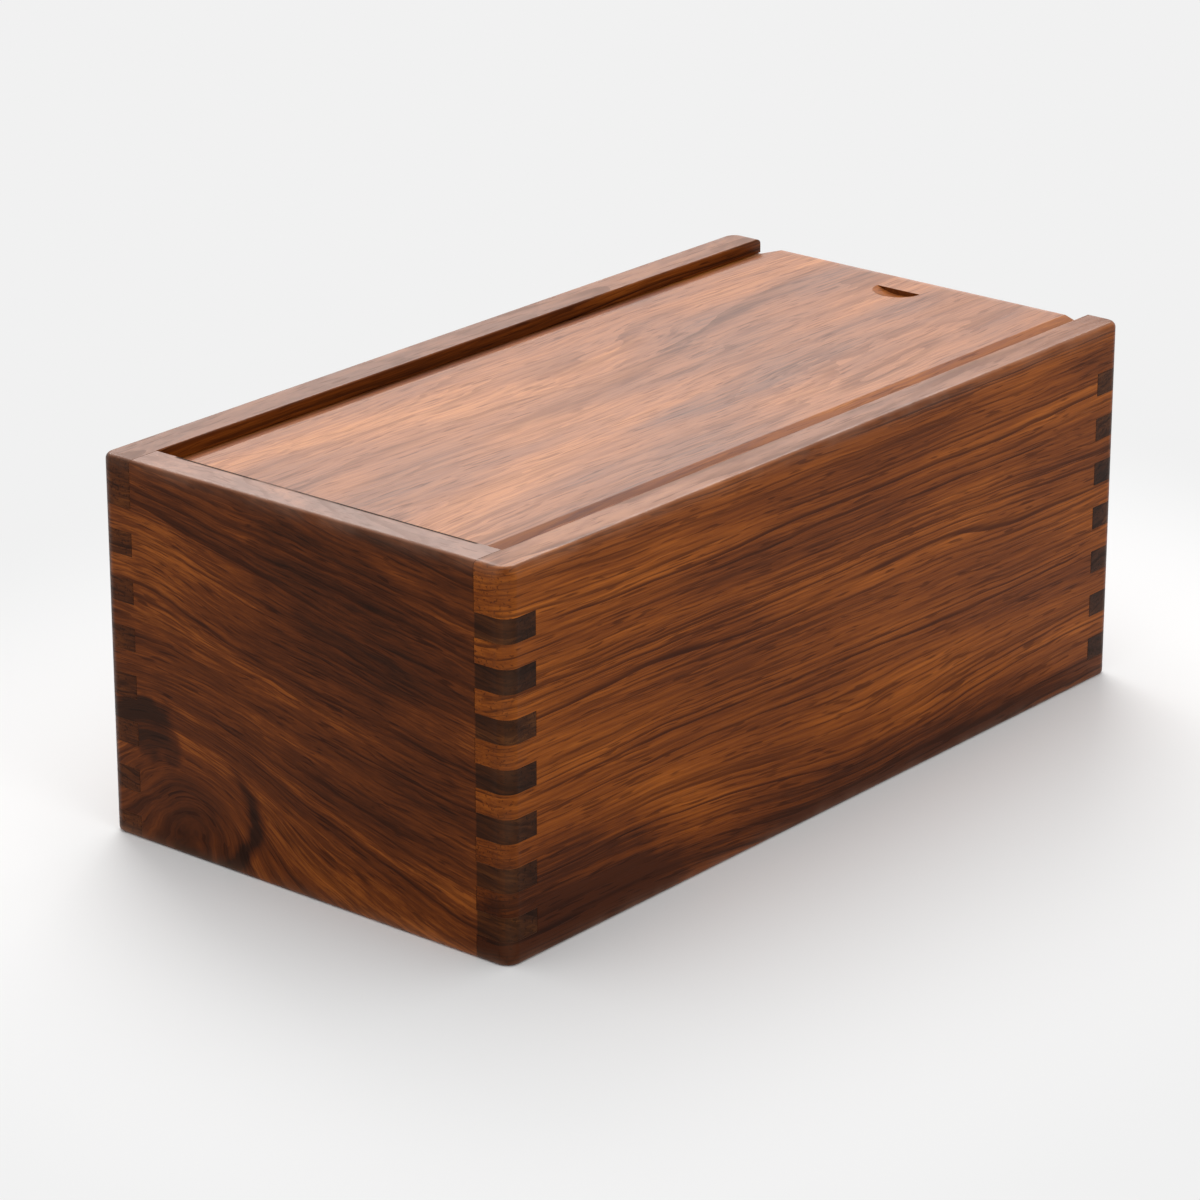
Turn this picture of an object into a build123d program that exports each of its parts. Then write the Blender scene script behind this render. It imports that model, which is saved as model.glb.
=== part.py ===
"""Wooden box with two cloth-floored compartments and a lid that slides out at one end.

Millimetres, +Z up. X runs along the box and Y across it. The origin is the centre of the underside.
The near end, at -X, is full height and holds the closed lid's tongue in a groove. The far end, at +X,
is lower, and the lid slides out over it. The right side is at -Y and the left side at +Y.
The four walls meet in glued finger joints. They hold a floor board in a recess and a divider in slots.
"""

from build123d import *

import os

# Outside of the case
BOX_LENGTH = 295.0
BOX_WIDTH = 155.0
BOX_HEIGHT = 118.0
CORNER_RADIUS = 4.5  # the four upright corners
TOP_EDGE_RADIUS = 1.8
BOTTOM_EDGE_RADIUS = 1.2
ARRIS = 0.4  # small bevel that takes the sharpness off the inner edges
ARRIS_TAPER = -45.0  # degrees, negative because the cut widens upwards

# Walls and their finger joints
SIDE_THICKNESS = 12.0
END_THICKNESS = 12.0
FINGER_HEIGHT = 7.4  # wanted height, adjusted so that a whole number of fingers fits
FEWEST_FINGERS = 2
WOOD_BELOW_GROOVE = 3.45  # the side walls' tall top finger reaches this far below the lid's groove

# Lid, a board whose thin edges run in grooves
LID_THICKNESS = 8.8
LID_RECESS = 2.2  # how far the lid's top lies below the tops of the walls
TONGUE_THICKNESS = 6.0
GROOVE_DEPTH = 6.0  # into the side walls and the near end wall
BEVEL_WIDTH = 9.0  # sloping strip along each long edge of the lid's top
LID_EDGE_RADIUS = 0.8  # top edge of the lid's far end
TONGUE_LEAD = 1.5  # bevel on the tongue's two leading corners
RUNNING_CLEARANCE = 0.3  # above and below the tongue
SIDE_CLEARANCE = 0.35  # between each edge of the tongue and its groove's bottom
CLOSING_CLEARANCE = 0.3  # between the closed lid and the near end wall

# Fingernail notch in the lid: a shallow bowl cut off by an upright wall
NOTCH_WIDTH = 17.0
NOTCH_DEPTH = 1.8
NOTCH_TO_END = 12.0  # from the notch's upright wall to the lid's far end

# Floor board, let into the walls from below and flush with their undersides
FLOOR_THICKNESS = 5.0
FLOOR_RECESS_DEPTH = 6.0

# Divider between the two compartments
DIVIDER_THICKNESS = 6.0
DIVIDER_SLOT_DEPTH = 3.0
DIVIDER_DROP = 6.0  # from the lid's groove down to the divider's top
DIVIDER_EDGE_RADIUS = 1.0

# Baize on the floor of each compartment
BAIZE_THICKNESS = 1.0
BAIZE_MARGIN = 0.5  # bare strip of floor all round each cloth

OVERRUN = 10.0  # how far a cutting block reaches past the wood that it cuts

NEAR, FAR = -1, 1
RIGHT, LEFT = -1, 1

# Places that follow from the sizes
half_length = BOX_LENGTH / 2
half_width = BOX_WIDTH / 2
inner_half_length = half_length - END_THICKNESS
inner_half_width = half_width - SIDE_THICKNESS
lid_top = BOX_HEIGHT - LID_RECESS
lid_bottom = lid_top - LID_THICKNESS
tongue_top = lid_bottom + TONGUE_THICKNESS
groove_floor = lid_bottom - RUNNING_CLEARANCE
groove_roof = tongue_top + RUNNING_CLEARANCE
fingers_top = groove_floor - WOOD_BELOW_GROOVE
finger_count = max(FEWEST_FINGERS, round(fingers_top / FINGER_HEIGHT))
finger_pitch = fingers_top / finger_count
divider_top = groove_floor - DIVIDER_DROP


def block(x_span, y_span, z_span):
    """A rectangular block between two places along each axis."""
    spans = (x_span, y_span, z_span)
    centre = [(low + high) / 2 for low, high in spans]
    size = [high - low for low, high in spans]
    return Pos(*centre) * Box(*size)


def both_ways(half):
    """A span centred on the origin."""
    return (-half, half)


def outer_block():
    """The whole outside of the closed box, with its rounded corners and edges."""
    body = extrude(RectangleRounded(BOX_LENGTH, BOX_WIDTH, CORNER_RADIUS), BOX_HEIGHT)
    body = fillet(body.edges().group_by(Axis.Z)[-1], TOP_EDGE_RADIUS)
    return fillet(body.edges().group_by(Axis.Z)[0], BOTTOM_EDGE_RADIUS)


outside = outer_block()


def end_span(end):
    """Where an end wall lies along X."""
    return tuple(sorted((end * inner_half_length, end * half_length)))


def end_fingers(end):
    """An end wall's fingers, as strips across the whole width of the box."""
    strips = []
    for step in range(0, finger_count, 2):
        high = fingers_top - step * finger_pitch
        strips.append(block(end_span(end), both_ways(half_width), (high - finger_pitch, high)))
    return strips


def lid_channel():
    """The space that the lid's tongue runs in, open at the far end."""
    return block(
        (-inner_half_length - GROOVE_DEPTH, half_length + OVERRUN),
        both_ways(inner_half_width + GROOVE_DEPTH),
        (groove_floor, groove_roof),
    )


def rim_bevel():
    """The small bevel round the inside of the rim, as a flared block to cut away."""
    start = -inner_half_length
    stop = half_length + OVERRUN
    outline = Rectangle(stop - start, 2 * inner_half_width)
    flare = extrude(outline, ARRIS, taper=ARRIS_TAPER)
    return Pos((start + stop) / 2, 0, BOX_HEIGHT - ARRIS) * flare


def floor_board():
    """The board that closes the box below."""
    return block(
        both_ways(inner_half_length + FLOOR_RECESS_DEPTH),
        both_ways(inner_half_width + FLOOR_RECESS_DEPTH),
        (0, FLOOR_THICKNESS),
    )


def divider_slot():
    """The two slots for the divider, as one block. They open into the lid's grooves."""
    return block(
        both_ways(DIVIDER_THICKNESS / 2),
        both_ways(inner_half_width + DIVIDER_SLOT_DEPTH),
        (FLOOR_THICKNESS, groove_floor),
    )


def side_wall(side):
    """A long wall, notched at its ends for the end walls' fingers."""
    span = tuple(sorted((side * inner_half_width, side * half_width)))
    wall = outside & block(both_ways(half_length), span, (0, BOX_HEIGHT))
    fingers = end_fingers(NEAR) + end_fingers(FAR)
    return wall - [*fingers, lid_channel(), rim_bevel(), floor_board(), divider_slot()]


def end_wall(end, top):
    """A short wall up to a given height, with its fingers."""
    between = block(end_span(end), both_ways(inner_half_width), (0, top))
    wall = between + end_fingers(end)
    return (outside & wall) - floor_board()


def near_end_wall():
    """The full-height end wall, grooved for the closed lid's tongue."""
    return end_wall(NEAR, BOX_HEIGHT) - lid_channel() - rim_bevel()


def far_end_wall():
    """The lower end wall, which the lid slides over."""
    wall = end_wall(FAR, groove_floor)
    top_edges = wall.edges().filter_by(Axis.Y).group_by(Axis.Z)[-1]
    return chamfer(top_edges, ARRIS)


def notch():
    """The fingernail notch's cutter: a ball, cut off by the upright wall."""
    radius = ((NOTCH_WIDTH / 2) ** 2 + NOTCH_DEPTH**2) / (2 * NOTCH_DEPTH)
    wall_x = half_length - NOTCH_TO_END
    bottom = lid_top - NOTCH_DEPTH
    ball = Pos(wall_x, 0, bottom + radius) * Sphere(radius)
    keep = block(
        (wall_x - NOTCH_WIDTH, wall_x),
        both_ways(NOTCH_WIDTH),
        (bottom - OVERRUN, lid_top + OVERRUN),
    )
    return ball & keep


def lid():
    """The sliding lid: tongues on three edges, bevelled long edges and the notch."""
    tongue_start = -inner_half_length - GROOVE_DEPTH + CLOSING_CLEARANCE
    tongue_half_width = inner_half_width + GROOVE_DEPTH - SIDE_CLEARANCE
    tongue = block(
        (tongue_start, half_length), both_ways(tongue_half_width), (lid_bottom, tongue_top)
    )
    leading = tongue.edges().filter_by(Axis.Z).group_by(Axis.X)[0]
    tongue = chamfer(leading, TONGUE_LEAD)
    field_start = -inner_half_length + CLOSING_CLEARANCE
    foot = inner_half_width - SIDE_CLEARANCE
    crest = inner_half_width - BEVEL_WIDTH
    section = Polygon(
        (-foot, lid_bottom),
        (foot, lid_bottom),
        (foot, tongue_top),
        (crest, lid_top),
        (-crest, lid_top),
        (-foot, tongue_top),
        align=None,
    )
    field = extrude(Plane.YZ.offset(field_start) * section, half_length - field_start)
    board = tongue + field
    end_edge = board.edges().filter_by(Axis.Y).group_by(Axis.Z)[-1].sort_by(Axis.X)[-1]
    return fillet(end_edge, LID_EDGE_RADIUS) - notch()


def divider():
    """The cross board between the compartments, with a rounded top."""
    board = block(
        both_ways(DIVIDER_THICKNESS / 2),
        both_ways(inner_half_width + DIVIDER_SLOT_DEPTH),
        (FLOOR_THICKNESS, divider_top),
    )
    top_edges = board.edges().filter_by(Axis.Y).group_by(Axis.Z)[-1]
    return fillet(top_edges, DIVIDER_EDGE_RADIUS)


def floor_baize(end):
    """The cloth on one compartment's floor."""
    divider_face = end * (DIVIDER_THICKNESS / 2 + BAIZE_MARGIN)
    wall_face = end * (inner_half_length - BAIZE_MARGIN)
    return block(
        tuple(sorted((divider_face, wall_face))),
        both_ways(inner_half_width - BAIZE_MARGIN),
        (FLOOR_THICKNESS, FLOOR_THICKNESS + BAIZE_THICKNESS),
    )


nodes = {
    "near_end_wall": near_end_wall(),
    "far_end_wall": far_end_wall(),
    "right_side_wall": side_wall(RIGHT),
    "left_side_wall": side_wall(LEFT),
    "bottom_panel": floor_board(),
    "divider": divider(),
    "near_floor_baize": floor_baize(NEAR),
    "far_floor_baize": floor_baize(FAR),
    "lid": lid(),
}

os.makedirs("parts", exist_ok=True)
for name, shape in nodes.items():
    export_step(shape, f"parts/{name}.step")
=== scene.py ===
"""Looks of a wooden box: finger-jointed rosewood walls, a sliding lid and two cloth-lined compartments.

Metres, +Z up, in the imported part's own frame. X runs along the box and the lid slides out towards +X.
The near end, at -X, is full height. The right side is at -Y.
"""

import logging
import math
from dataclasses import dataclass
from enum import Enum

import bmesh
import bpy
from mathutils import Matrix, Vector, noise


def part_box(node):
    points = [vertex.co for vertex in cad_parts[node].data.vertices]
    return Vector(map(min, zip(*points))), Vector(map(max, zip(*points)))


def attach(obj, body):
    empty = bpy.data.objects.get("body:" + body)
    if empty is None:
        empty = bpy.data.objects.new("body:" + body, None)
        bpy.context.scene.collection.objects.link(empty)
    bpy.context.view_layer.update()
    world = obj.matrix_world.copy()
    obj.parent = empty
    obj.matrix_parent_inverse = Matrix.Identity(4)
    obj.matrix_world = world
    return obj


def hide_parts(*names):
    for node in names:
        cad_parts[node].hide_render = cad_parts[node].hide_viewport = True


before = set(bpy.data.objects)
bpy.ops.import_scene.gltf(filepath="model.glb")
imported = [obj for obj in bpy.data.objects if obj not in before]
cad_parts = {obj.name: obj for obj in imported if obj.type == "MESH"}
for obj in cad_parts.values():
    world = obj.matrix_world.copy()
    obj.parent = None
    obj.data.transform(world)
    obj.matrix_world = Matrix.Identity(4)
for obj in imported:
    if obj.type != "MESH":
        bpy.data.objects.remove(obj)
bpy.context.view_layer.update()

log = logging.getLogger("chess_box")

MM = 0.001
FLAT_ANGLE = math.radians(0.5)  # two faces at less than this count as one flat face
SHARP_ANGLE = math.radians(13.0)  # the edge between two faces at more than this is rounded

Colour = tuple[float, float, float]
Span = tuple[float, float]
Socket = bpy.types.NodeSocket
Value = float | int | bool | tuple | Vector | Socket | bpy.types.Material


# ---------------------------------------------------------------------------------------------------
# Node trees


class Nodes:
    """Adds nodes to one tree and wires them as they are added."""

    def __init__(self, tree: bpy.types.NodeTree) -> None:
        """Starts on a tree.

        Args:
            tree: A shader or geometry node tree.
        """
        self.tree = tree

    def add(self, kind: str, inputs: dict[int | str, Value] | None = None, **settings: object) -> bpy.types.Node:
        """Adds one node.

        Args:
            kind: The node's type name.
            inputs: What each input gets, by name or place: a constant, or another node's output.
            settings: The node's own settings.

        Returns:
            The new node.
        """
        node = self.tree.nodes.new(kind)
        for setting, value in settings.items():
            setattr(node, setting, value)
        for key, value in (inputs or {}).items():
            if isinstance(value, bpy.types.NodeSocket):
                self.tree.links.new(value, node.inputs[key])
            else:
                node.inputs[key].default_value = value
        return node

    def link(self, source: Socket, target: Socket) -> None:
        """Wires one socket to another."""
        self.tree.links.new(source, target)

    def math(self, operation: str, first: Value, second: Value = 0.0) -> Socket:
        """A Math node's result.

        Args:
            operation: The node's operation.
            first: Its first input.
            second: Its second input, where the operation has one.

        Returns:
            The output socket.
        """
        return self.add("ShaderNodeMath", {0: first, 1: second}, operation=operation).outputs[0]

    def vector(self, operation: str, first: Value, second: Value = (0.0, 0.0, 0.0)) -> Socket:
        """A Vector Math node's result as a vector.

        Args:
            operation: The node's operation.
            first: Its first input.
            second: Its second input, where the operation has one.

        Returns:
            The output socket.
        """
        return self.add("ShaderNodeVectorMath", {0: first, 1: second}, operation=operation).outputs[0]

    def dot(self, first: Value, second: Value) -> Socket:
        """The dot product of two vectors.

        Args:
            first: One vector.
            second: The other one.

        Returns:
            The output socket.
        """
        node = self.add("ShaderNodeVectorMath", {0: first, 1: second}, operation="DOT_PRODUCT")
        return node.outputs["Value"]

    def ease(self, value: Value, start: float, stop: float, low: float = 0.0, high: float = 1.0) -> Socket:
        """A smooth step between two values.

        Args:
            value: What is stepped.
            start: Where the step starts.
            stop: Where it ends.
            low: The result before the start.
            high: The result after the stop.

        Returns:
            The output socket.
        """
        settings = {"Value": value, 1: start, 2: stop, 3: low, 4: high}
        return self.add("ShaderNodeMapRange", settings, interpolation_type="SMOOTHSTEP").outputs[0]

    def noise(self, vector: Value, detail: float = 2.0, roughness: float = 0.5) -> bpy.types.Node:
        """A 3-D noise whose features are about one unit of the vector wide.

        Args:
            vector: The place, already scaled.
            detail: How many finer layers it has.
            roughness: How strong the finer layers are.

        Returns:
            The noise node.
        """
        settings = {"Vector": vector, "Scale": 1.0, "Detail": detail, "Roughness": roughness}
        return self.add("ShaderNodeTexNoise", settings)

    def mix(self, factor: Value, first: Value, second: Value, blend: str = "MIX") -> Socket:
        """Mixes two colours.

        Args:
            factor: The share of the second one.
            first: A colour, or its socket.
            second: A colour, or its socket.
            blend: How they are blended.

        Returns:
            The output socket.
        """
        node = self.add("ShaderNodeMix", {0: factor}, data_type="RGBA", blend_type=blend)
        for place, colour in ((6, first), (7, second)):
            if isinstance(colour, bpy.types.NodeSocket):
                self.tree.links.new(colour, node.inputs[place])
            else:
                node.inputs[place].default_value = (*colour, 1.0)
        return node.outputs[2]

    def group(self, tree: bpy.types.NodeTree, inputs: dict[str, Value]) -> bpy.types.Node:
        """Places a shared group.

        Args:
            tree: The group.
            inputs: What its inputs get, by name.

        Returns:
            The group node.
        """
        node = self.add("ShaderNodeGroup", node_tree=tree)
        for key, value in inputs.items():
            if isinstance(value, bpy.types.NodeSocket):
                self.link(value, node.inputs[key])
            else:
                node.inputs[key].default_value = value
        return node

    def ramp(self, value: Value, stops: tuple[tuple[float, Colour], ...]) -> Socket:
        """A colour ramp.

        Args:
            value: The place on the ramp, from 0 to 1.
            stops: Places and their colours, in order.

        Returns:
            The output socket.
        """
        node = self.add("ShaderNodeValToRGB", {0: value})
        elements = node.color_ramp.elements
        while len(elements) < len(stops):
            elements.new(1.0)
        for element, (place, colour) in zip(elements, stops):
            element.position = place
            element.color = (*colour, 1.0)
        return node.outputs[0]


def new_group(name: str, kind: str, inputs: dict[str, str], outputs: dict[str, str]) -> tuple[Nodes, dict, bpy.types.Node]:
    """Starts a node group.

    Args:
        name: The group's name.
        kind: ShaderNodeTree or GeometryNodeTree.
        inputs: Each input's name and socket type.
        outputs: Each output's name and socket type.

    Returns:
        The group's nodes, its inputs by name, and its output node.
    """
    tree = bpy.data.node_groups.new(name, kind)
    for way, sockets in (("INPUT", inputs), ("OUTPUT", outputs)):
        for socket_name, socket_type in sockets.items():
            tree.interface.new_socket(name=socket_name, in_out=way, socket_type=socket_type)
    nodes = Nodes(tree)
    given = nodes.add("NodeGroupInput")
    return nodes, {key: given.outputs[key] for key in inputs}, nodes.add("NodeGroupOutput")


FLOAT, VECTOR = "NodeSocketFloat", "NodeSocketVector"
INTEGER, BOOLEAN, GEOMETRY, MATERIAL = (
    "NodeSocketInt", "NodeSocketBool", "NodeSocketGeometry", "NodeSocketMaterial",
)


# ---------------------------------------------------------------------------------------------------
# Shared effects, each built once


class Effects:
    """The shader groups that more than one material uses."""

    def __init__(self) -> None:
        """Builds every group."""
        self.swirl = self._swirl()
        self.figure = self._figure()
        self.end_grain = self._end_grain()
        self.edge_wear = self._edge_wear()
        self.painted_seam_shade = self._painted_seam_shade()

    @staticmethod
    def _swirl() -> bpy.types.NodeTree:
        """A knot: a hump in the grain, with a dark heart and a dark rim on one side; the heart also carries painted
        shade and painted light.

        Returns:
            The group.
        """
        nodes, given, out = new_group(
            "knot_swirl", "ShaderNodeTree",
            {"Vector": VECTOR, "Centre": VECTOR, "Reach": VECTOR, "Lift": FLOAT, "Heart": FLOAT, "Ragged": FLOAT,
             "Rim": FLOAT, "Rim Side": VECTOR},
            {"Lift": FLOAT, "Shade": FLOAT, "Calm": FLOAT},
        )
        ragged = nodes.noise(nodes.vector("MULTIPLY", given["Vector"], (90.0, 90.0, 90.0)), 2.0).outputs["Color"]
        ragged = nodes.vector("SUBTRACT", ragged, (0.5, 0.5, 0.5))
        away = nodes.vector("DIVIDE", nodes.vector("SUBTRACT", given["Vector"], given["Centre"]), given["Reach"])
        squared = nodes.dot(away, away)
        fall = nodes.math("EXPONENT", nodes.math("MULTIPLY", squared, -1.0))
        nodes.link(nodes.math("MULTIPLY", fall, given["Lift"]), out.inputs["Lift"])
        nodes.link(nodes.ease(squared, 0.15, 0.95, 1.0, 0.0), out.inputs["Calm"])

        ragged = nodes.vector("MULTIPLY", ragged, (1.0, 0.0, 1.0))
        frayed = nodes.add("ShaderNodeVectorMath", {0: ragged, "Scale": given["Ragged"]}, operation="SCALE").outputs[0]
        frayed = nodes.vector("ADD", away, frayed)
        heart = nodes.ease(nodes.dot(frayed, frayed), 0.15, 0.75, 1.0, 0.0)
        heart = nodes.math("MULTIPLY", heart, given["Heart"])
        bumpy = nodes.vector("ADD", away, nodes.vector("MULTIPLY", ragged, (0.35, 0.35, 0.35)))
        off_rim = nodes.math("SUBTRACT", nodes.math("SQRT", nodes.dot(bumpy, bumpy)), 0.92)
        ring = nodes.math("EXPONENT", nodes.math("MULTIPLY", nodes.math("MULTIPLY", off_rim, off_rim), -90.0))
        sided = nodes.ease(nodes.dot(away, given["Rim Side"]), -0.2, 0.8)
        rim = nodes.math("MULTIPLY", nodes.math("MULTIPLY", ring, sided), given["Rim"])
        nodes.link(nodes.math("ADD", heart, rim), out.inputs["Shade"])
        return nodes.tree

    @staticmethod
    def _figure() -> bpy.types.NodeTree:
        """The figure of a board whose grain runs along X, with the pith on that axis.

        Tone runs from dark to light wood. Dark is the mask of its thin dark lines and pores.

        Returns:
            The group.
        """
        nodes, given, out = new_group(
            "wood_figure", "ShaderNodeTree",
            {"Vector": VECTOR, "Lift": FLOAT, "Shade": FLOAT, "Calm": FLOAT, "Waviness": FLOAT, "Band Width": FLOAT,
             "Line Spacing": FLOAT, "Stroke Scale": VECTOR, "Seed": FLOAT, "Bands": FLOAT, "Zones": FLOAT,
             "Strokes": FLOAT, "Lines": FLOAT, "Pores": FLOAT},
            {"Tone": FLOAT, "Dark": FLOAT, "Height": FLOAT},
        )
        shift = nodes.add("ShaderNodeCombineXYZ", {0: given["Seed"], 1: given["Seed"], 2: given["Seed"]})
        place = given["Vector"]

        def drift(along: float, across: float, amount: Value, detail: float) -> Socket:
            """A sideways wander of the grain.

            Args:
                along: Features per metre along the grain.
                across: Features per metre across it.
                amount: How far it goes.
                detail: How many finer layers it has.

            Returns:
                The output socket.
            """
            spread = nodes.vector("MULTIPLY", place, (along, across, across))
            wander = nodes.noise(nodes.vector("ADD", spread, shift.outputs[0]), detail).outputs["Color"]
            centred = nodes.vector("SUBTRACT", wander, (0.5, 0.5, 0.5))
            scaled = nodes.add("ShaderNodeVectorMath", {0: centred, "Scale": amount}, operation="SCALE")
            return nodes.vector("MULTIPLY", scaled.outputs[0], (0.0, 1.0, 1.0))

        slow = drift(6.0, 20.0, given["Waviness"], 1.5)
        quick = drift(38.0, 110.0, nodes.math("MULTIPLY", given["Waviness"], 0.16), 2.0)
        lifted = nodes.add("ShaderNodeCombineXYZ", {2: given["Lift"]}).outputs[0]
        bent = nodes.vector("ADD", nodes.vector("ADD", place, slow), nodes.vector("ADD", quick, lifted))

        parts = nodes.add("ShaderNodeSeparateXYZ", {0: bent})
        flat = nodes.add("ShaderNodeCombineXYZ", {1: parts.outputs[1], 2: parts.outputs[2]}).outputs[0]
        radius = nodes.add("ShaderNodeVectorMath", {0: flat}, operation="LENGTH").outputs["Value"]

        def rings(width: Value, detail: float, patchiness: float) -> Socket:
            """Noise that follows the growth rings.

            Args:
                width: The width of a band.
                detail: How many finer layers it has.
                patchiness: How far the bands break up along the grain.

            Returns:
                The output socket.
            """
            step = nodes.math("ADD", nodes.math("DIVIDE", radius, width), given["Seed"])
            patches = nodes.noise(nodes.vector("MULTIPLY", bent, (12.0, 70.0, 70.0)), 2.0).outputs["Fac"]
            along = {"W": nodes.math("ADD", step, nodes.math("MULTIPLY", patches, patchiness)), "Scale": 1.0, "Detail": detail}
            return nodes.add("ShaderNodeTexNoise", along, noise_dimensions="1D").outputs["Fac"]

        def weighted(value: Socket, weight: Value) -> Socket:
            """A value from 0 to 1 as a weighted step up or down."""
            return nodes.math("MULTIPLY", nodes.math("SUBTRACT", value, 0.5), weight)

        bands = nodes.ease(rings(given["Band Width"], 2.0, 1.6), 0.25, 0.75)
        broad = nodes.noise(nodes.vector("MULTIPLY", bent, (9.0, 38.0, 38.0)), 2.0).outputs["Fac"]
        strokes = nodes.noise(nodes.vector("MULTIPLY", bent, given["Stroke Scale"]), 4.0, 0.68).outputs["Fac"]
        strokes = nodes.ease(strokes, 0.32, 0.68)
        lively = nodes.math("SUBTRACT", 1.0, nodes.math("MULTIPLY", given["Calm"], 0.7))
        banding = nodes.math("MULTIPLY", weighted(bands, given["Bands"]), lively)
        tone = nodes.math("ADD", banding, weighted(nodes.ease(broad, 0.3, 0.7), given["Zones"]))
        tone = nodes.math("ADD", nodes.math("ADD", tone, weighted(strokes, given["Strokes"])), 0.5)
        nodes.link(nodes.math("SUBTRACT", tone, given["Shade"]), out.inputs["Tone"])

        def ring_lines(spacing: Value) -> Socket:
            """Thin dark lines where growth rings end, some stronger than others.

            Args:
                spacing: The mean width of a ring.

            Returns:
                The output socket.
            """
            step = nodes.math("ADD", nodes.math("DIVIDE", radius, spacing), given["Seed"])
            uneven = {"W": nodes.math("MULTIPLY", step, 0.31), "Scale": 1.0, "Detail": 1.0}
            uneven = nodes.add("ShaderNodeTexNoise", uneven, noise_dimensions="1D").outputs["Fac"]
            patches = nodes.noise(nodes.vector("MULTIPLY", bent, (9.0, 50.0, 50.0)), 1.0).outputs["Fac"]
            step = nodes.math("ADD", step, nodes.math("MULTIPLY", nodes.math("ADD", uneven, patches), 2.2))
            ring = nodes.math("FLOOR", step)
            strength = nodes.add("ShaderNodeTexWhiteNoise", {"W": ring}, noise_dimensions="1D").outputs["Value"]
            late = nodes.ease(nodes.math("FRACT", step), 0.60, 0.92)
            return nodes.math("MULTIPLY", late, nodes.ease(strength, 0.0, 0.7, 0.15, 1.0))

        fine = nodes.math("MULTIPLY", ring_lines(nodes.math("MULTIPLY", given["Line Spacing"], 0.42)), 0.7)
        gaps = nodes.noise(nodes.vector("MULTIPLY", bent, (14.0, 200.0, 200.0)), 2.0).outputs["Fac"]
        lines = nodes.math("MAXIMUM", ring_lines(given["Line Spacing"]), fine)
        lines = nodes.math("MULTIPLY", lines, nodes.ease(gaps, 0.34, 0.52, 0.2, 1.0))
        lines = nodes.math("MULTIPLY", lines, lively)
        dashes = nodes.noise(nodes.vector("MULTIPLY", bent, (75.0, 1100.0, 1100.0)), 1.0).outputs["Fac"]
        pores = nodes.ease(dashes, 0.58, 0.68)
        marks = nodes.math("MAXIMUM", nodes.math("MULTIPLY", lines, given["Lines"]), nodes.math("MULTIPLY", pores, given["Pores"]))
        nodes.link(marks, out.inputs["Dark"])
        nodes.link(nodes.math("SUBTRACT", nodes.math("MULTIPLY", strokes, 0.5), marks), out.inputs["Height"])
        return nodes.tree

    @staticmethod
    def _painted_seam_shade() -> bpy.types.NodeTree:
        """Painted shade: a dark line in the corner round an opening's top edge, standing in for the shaded gap where
        the lid meets it, broken along its length.

        Returns:
            The group.
        """
        nodes, given, out = new_group(
            "painted_seam_shade", "ShaderNodeTree",
            {"Vector": VECTOR, "Centre": VECTOR, "Half Size": VECTOR, "Half Line": FLOAT, "Width": FLOAT},
            {"Mask": FLOAT},
        )
        away = nodes.vector("ABSOLUTE", nodes.vector("SUBTRACT", given["Vector"], given["Centre"]))
        across = nodes.add("ShaderNodeSeparateXYZ", {0: away}).outputs[1]
        inside = nodes.ease(nodes.math("SUBTRACT", across, given["Half Line"]), 0.0, 1.5 * MM, 1.0, 0.0)
        over = nodes.add("ShaderNodeSeparateXYZ", {0: nodes.vector("SUBTRACT", away, given["Half Size"])}).outputs
        outline = nodes.math("ABSOLUTE", nodes.math("MAXIMUM", over[0], over[1]))
        near = nodes.ease(nodes.math("DIVIDE", outline, given["Width"]), 0.5, 1.2, 1.0, 0.0)
        broken = nodes.noise(nodes.vector("MULTIPLY", given["Vector"], (35.0, 35.0, 35.0)), 3.0, 0.65).outputs["Fac"]
        above = nodes.math("LESS_THAN", nodes.math("ABSOLUTE", over[2]), given["Width"])
        kept = nodes.math("MULTIPLY", nodes.math("MULTIPLY", near, nodes.ease(broken, 0.30, 0.50, 0.25, 1.0)), above)
        nodes.link(nodes.math("MULTIPLY", kept, inside), out.inputs["Mask"])
        return nodes.tree

    @staticmethod
    def _end_grain() -> bpy.types.NodeTree:
        """Where a surface cuts across the grain, and the board's tips at one of its ends.

        Returns:
            The group.
        """
        nodes, given, out = new_group(
            "end_grain", "ShaderNodeTree",
            {"Normal": VECTOR, "Vector": VECTOR, "Grain": VECTOR, "Tip Way": VECTOR, "Tip Start": FLOAT},
            {"Mask": FLOAT, "Tips": FLOAT},
        )
        past = nodes.math("SUBTRACT", nodes.dot(given["Vector"], given["Tip Way"]), given["Tip Start"])
        nodes.link(nodes.ease(past, -0.2 * MM, 0.6 * MM), out.inputs["Tips"])
        facing = nodes.math("ABSOLUTE", nodes.dot(given["Normal"], given["Grain"]))
        nodes.link(nodes.ease(facing, 0.15, 0.62), out.inputs["Mask"])
        return nodes.tree

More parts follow.
